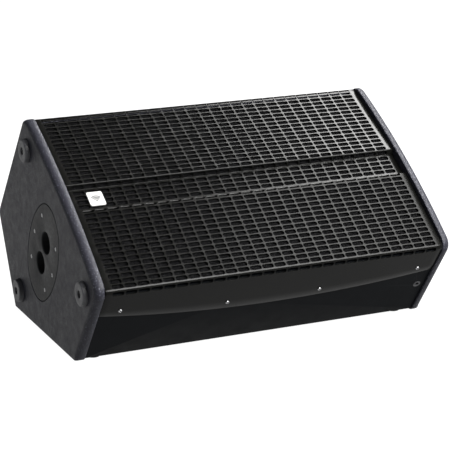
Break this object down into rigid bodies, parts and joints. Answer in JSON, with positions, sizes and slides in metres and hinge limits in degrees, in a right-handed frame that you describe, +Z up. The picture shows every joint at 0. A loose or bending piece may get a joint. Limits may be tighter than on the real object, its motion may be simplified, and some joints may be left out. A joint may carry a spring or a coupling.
{
  "type": "stage monitor wedge",
  "caption": "Wedge-shaped powered floor monitor with a folded perforated grille, bowed end panels, a dual pole mount, rubber feet, a recessed handle and a recessed amplifier panel.",
  "frame": {"origin": "centre of the whole object's footprint at the underside of the floor pads", "axes": "+X along the cabinet away from the pole mount, +Y from the front lip to the back, +Z up"},
  "size_m": [0.6274, 0.4483, 0.3412],
  "materials": {
    "textured_paint": "textured black cabinet paint with a fine speckle",
    "satin_paint": "smooth satin black paint",
    "board_paint": "birch plywood painted black",
    "batten_wood": "raw spruce and birch ply",
    "grille_steel": "satin black powder coat",
    "acoustic_foam": "open-cell black foam",
    "bright_screw": "bright zinc",
    "emblem_plate": "pale satin plate",
    "moulded_plastic": "fine textured black moulding",
    "foot_rubber": "black rubber",
    "black_screw": "black oxide",
    "black_steel": "black coated steel",
    "basket_metal": "black powder coat",
    "zinc_steel": "zinc plated",
    "ferrite": "sintered ferrite",
    "coil_copper": "enamelled wire",
    "cone_paper": "pulp paper",
    "surround_cloth": "doped cloth",
    "spider_cloth": "resin treated cloth",
    "gasket_rubber": "cellular rubber",
    "horn_plastic": "moulded black plastic",
    "diaphragm_metal": "thin titanium dome",
    "panel_metal": "fine black powder coat",
    "heatsink_aluminium": "black anodised",
    "socket_plastic": "black nylon",
    "latch_metal": "nickel plated",
    "knob_plastic": "soft touch black",
    "button_plastic": "grey moulding",
    "led_lens": "tinted lens",
    "rocker_plastic": "black moulding",
    "pin_brass": "nickel plated brass",
    "circuit_board": "soldermask",
    "transformer_tape": "polyester tape",
    "grip_rubber": "matt black grip"
  },
  "bodies": {
    "cabinet": {"amp_housing": "zinc_steel", "amp_panel": "panel_metal", "back_panel": "textured_paint", "badge_plate": "emblem_plate", "baffle": "board_paint", "bottom_panel": "textured_paint", "button_switches": "socket_plastic", "compression_driver": "basket_metal", "corner_battens": "batten_wood", "driver_cover": "moulded_plastic", "driver_screws": "black_screw", "end_feet": "foot_rubber", "end_feet_screws": "black_screw", "floor_feet": "foot_rubber", "front_panel": "satin_paint", "grille": "grille_steel", "grille_foam": "acoustic_foam", "grille_screws": "bright_screw", "handle_cup": "moulded_plastic", "handle_grip": "grip_rubber", "heatsink": "heatsink_aluminium", "horn": "horn_plastic", "indicator_leds": "led_lens", "input_board": "circuit_board", "input_sockets": "socket_plastic", "left_end_panel": "textured_paint", "link_socket": "socket_plastic", "mains_inlet": "socket_plastic", "mains_inlet_pins": "pin_brass", "panel_screws": "black_screw", "pole_mount": "moulded_plastic", "pole_mount_screws": "bright_screw", "port_tubes": "horn_plastic", "potentiometers": "zinc_steel", "power_board": "circuit_board", "power_switch_frame": "socket_plastic", "power_transformer": "transformer_tape", "rear_upper_panel": "textured_paint", "rigging_insert": "black_steel", "right_end_panel": "textured_paint", "window_brace": "batten_wood", "woofer_basket": "basket_metal", "woofer_gasket": "gasket_rubber", "woofer_magnet": "ferrite", "woofer_spider": "spider_cloth", "woofer_surround": "surround_cloth", "woofer_top_plate": "zinc_steel", "woofer_yoke": "zinc_steel"},
    "woofer_cone_assembly": {"woofer_cone": "cone_paper", "woofer_dust_cap": "cone_paper", "voice_coil": "coil_copper"},
    "hf_diaphragm_body": {"hf_diaphragm": "diaphragm_metal"},
    "level_knob_a_body": {"level_knob_a": "knob_plastic"},
    "level_knob_b_body": {"level_knob_b": "knob_plastic"},
    "contour_button_body": {"contour_button": "button_plastic"},
    "ground_lift_button_body": {"ground_lift_button": "button_plastic"},
    "latch_tab_a_body": {"latch_tab_a": "latch_metal"},
    "latch_tab_b_body": {"latch_tab_b": "latch_metal"},
    "power_rocker_body": {"power_rocker": "rocker_plastic"}
  },
  "joints": [
    {"name": "woofer_cone_slide", "type": "slide", "parent": "cabinet", "child": "woofer_cone_assembly", "axis": [0, -0.5402, 0.8415], "range_m": [-0.0065, 0.0065], "stiffness_N_per_m": 2500, "deforming": ["woofer_surround", "woofer_spider"]},
    {"name": "hf_diaphragm_slide", "type": "slide", "parent": "cabinet", "child": "hf_diaphragm_body", "axis": [0, -0.5402, 0.8415], "range_m": [-0.0003, 0.0003], "stiffness_N_per_m": 600},
    {"name": "level_knob_a_turn", "type": "hinge", "parent": "cabinet", "child": "level_knob_a_body", "pos_m": [0.14175, 0.15526, 0.06549], "axis": [0, 0.8894, -0.4571], "range_deg": [-150, 150]},
    {"name": "level_knob_b_turn", "type": "hinge", "parent": "cabinet", "child": "level_knob_b_body", "pos_m": [0.10975, 0.15526, 0.06549], "axis": [0, 0.8894, -0.4571], "range_deg": [-150, 150]},
    {"name": "contour_button_press", "type": "slide", "parent": "cabinet", "child": "contour_button_body", "axis": [0, -0.8894, 0.4571], "range_m": [0, 0.0025], "stiffness_N_per_m": 350, "springref_m": -0.001},
    {"name": "ground_lift_button_press", "type": "slide", "parent": "cabinet", "child": "ground_lift_button_body", "axis": [0, -0.8894, 0.4571], "range_m": [0, 0.0025], "stiffness_N_per_m": 350, "springref_m": -0.001},
    {"name": "latch_tab_a_press", "type": "slide", "parent": "cabinet", "child": "latch_tab_a_body", "axis": [0, -0.8894, 0.4571], "range_m": [0, 0.002], "stiffness_N_per_m": 350, "springref_m": -0.001},
    {"name": "latch_tab_b_press", "type": "slide", "parent": "cabinet", "child": "latch_tab_b_body", "axis": [0, -0.8894, 0.4571], "range_m": [0, 0.002], "stiffness_N_per_m": 350, "springref_m": -0.001},
    {"name": "power_rocker_tilt", "type": "hinge", "parent": "cabinet", "child": "power_rocker_body", "pos_m": [-0.12825, 0.17455, 0.11179], "axis": [0, 0.4571, 0.8894], "range_deg": [-18, 0]}
  ]
}
